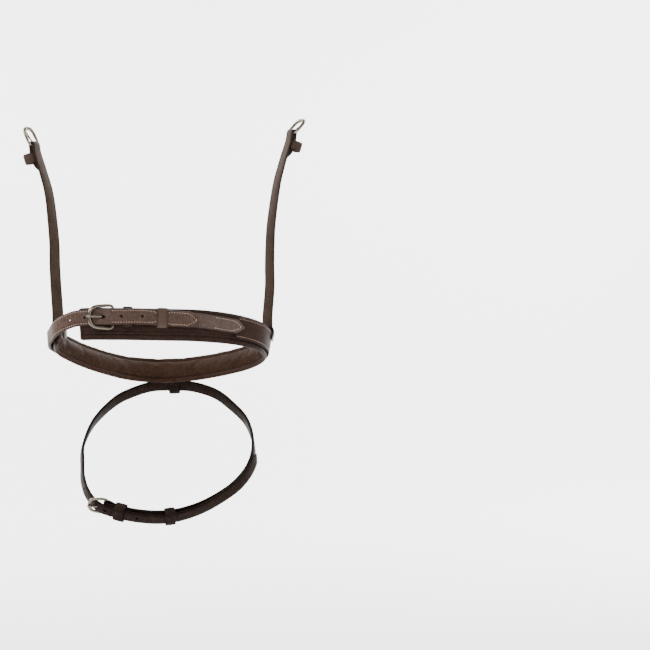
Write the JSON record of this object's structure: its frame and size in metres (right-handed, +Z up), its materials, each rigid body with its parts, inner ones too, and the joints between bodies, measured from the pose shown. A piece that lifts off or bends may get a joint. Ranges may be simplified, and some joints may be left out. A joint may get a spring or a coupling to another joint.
{
  "type": "bridle flash noseband",
  "caption": "Padded noseband in dark brown leather with a jaw buckle, a lower flash strap and buckled hanger straps.",
  "frame": {"origin": "the point between the two hanger buckles, from which the noseband hangs", "axes": "+Z up along the hangers, +X to the wearer's right, +Y from the jaw towards the nose"},
  "size_m": [0.3274, 0.1949, 0.4721],
  "materials": {
    "band_leather": "smooth dark brown bridle leather, satin",
    "strap_leather": "brown bridle leather with a light waxed bloom, satin",
    "hanger_leather": "brown bridle leather with darkened edges, satin",
    "flash_leather": "very dark brown bridle leather, satin",
    "lining_leather": "soft padded lining leather, matt to satin",
    "padding_foam": "closed-cell foam, hidden inside the lining",
    "buckle_steel": "polished stainless steel",
    "thread": "waxed beige-brown thread"
  },
  "bodies": {
    "noseband": {"nose_band": "band_leather", "nose_padding": "padding_foam", "nose_lining": "lining_leather", "nose_overlay": "band_leather", "billet_strap": "strap_leather", "chape_strap": "strap_leather", "jaw_fixed_keeper": "strap_leather", "flash_loop": "band_leather", "hanger_tab_left": "hanger_leather", "hanger_tab_right": "hanger_leather"},
    "jaw_frame": {"jaw_buckle_frame": "buckle_steel"},
    "jaw_prong": {"jaw_buckle_prong": "buckle_steel"},
    "jaw_slider": {"jaw_running_keeper": "strap_leather"},
    "flash": {"flash_strap": "flash_leather", "flash_fixed_keeper": "flash_leather"},
    "flash_frame": {"flash_buckle_frame": "buckle_steel"},
    "flash_prong": {"flash_buckle_prong": "buckle_steel"},
    "flash_slider": {"flash_running_keeper": "flash_leather"},
    "hanger_left": {"hanger_strap_left": "hanger_leather", "hanger_keeper_left": "hanger_leather"},
    "hanger_frame_left": {"hanger_buckle_frame_left": "buckle_steel"},
    "hanger_prong_left": {"hanger_buckle_prong_left": "buckle_steel"},
    "hanger_right": {"hanger_strap_right": "hanger_leather", "hanger_keeper_right": "hanger_leather"},
    "hanger_frame_right": {"hanger_buckle_frame_right": "buckle_steel"},
    "hanger_prong_right": {"hanger_buckle_prong_right": "buckle_steel"}
  },
  "joints": [
    {"name": "jaw_buckle_lift", "type": "hinge", "parent": "noseband", "child": "jaw_frame", "pos_m": [-0.05451, -0.07135, -0.2121], "axis": [0.0049, 0.0787, 0.9969], "range_deg": [0, 2]},
    {"name": "jaw_prong_lift", "type": "hinge", "parent": "jaw_frame", "child": "jaw_prong", "pos_m": [-0.05451, -0.07135, -0.2121], "axis": [0.0049, 0.0787, 0.9969], "range_deg": [0, 1.5]},
    {"name": "jaw_keeper_slide", "type": "slide", "parent": "noseband", "child": "jaw_slider", "axis": [0.9954, 0.0664, -0.0686], "range_m": [-0.008, 0.012]},
    {"name": "flash_swing", "type": "hinge", "parent": "noseband", "child": "flash", "pos_m": [0.013, 0.1079, -0.2965], "axis": [1, 0, 0], "range_deg": [-6, 6]},
    {"name": "flash_buckle_lift", "type": "hinge", "parent": "flash", "child": "flash_frame", "pos_m": [-0.06218, -0.03629, -0.42628], "axis": [0.0099, -0.655, 0.7556], "range_deg": [-2, 2]},
    {"name": "flash_prong_lift", "type": "hinge", "parent": "flash_frame", "child": "flash_prong", "pos_m": [-0.06218, -0.03629, -0.42628], "axis": [0.0099, -0.655, 0.7556], "range_deg": [0, 2]},
    {"name": "flash_keeper_slide", "type": "slide", "parent": "flash", "child": "flash_slider", "axis": [0.99, 0.1051, 0.0946], "range_m": [-0.004, 0.004]},
    {"name": "hanger_swing_left", "type": "hinge", "parent": "noseband", "child": "hanger_left", "pos_m": [-0.11935, -0.00481, -0.21873], "axis": [-0.1378, -0.9904, 0.0113], "range_deg": [-15, 25], "stiffness_Nm_per_rad": 0.12},
    {"name": "hanger_buckle_turn_left", "type": "hinge", "parent": "hanger_left", "child": "hanger_frame_left", "pos_m": [-0.14505, -0.01539, -0.0153], "axis": [-0.4668, -0.874, -0.1352], "range_deg": [-60, 30]},
    {"name": "hanger_prong_lift_left", "type": "hinge", "parent": "hanger_frame_left", "child": "hanger_prong_left", "pos_m": [-0.14505, -0.01539, -0.0153], "axis": [-0.4668, -0.874, -0.1352], "range_deg": [0, 40]},
    {"name": "hanger_swing_right", "type": "hinge", "parent": "noseband", "child": "hanger_right", "pos_m": [0.12325, 0.00797, -0.22034], "axis": [0.1981, 0.9802, -0.0004], "range_deg": [-15, 25], "stiffness_Nm_per_rad": 0.12},
    {"name": "hanger_buckle_turn_right", "type": "hinge", "parent": "hanger_right", "child": "hanger_frame_right", "pos_m": [0.15208, 0.00756, 0.00669], "axis": [-0.4278, 0.8954, 0.1232], "range_deg": [-60, 30]},
    {"name": "hanger_prong_lift_right", "type": "hinge", "parent": "hanger_frame_right", "child": "hanger_prong_right", "pos_m": [0.15208, 0.00756, 0.00669], "axis": [-0.4278, 0.8954, 0.1232], "range_deg": [0, 40]}
  ]
}
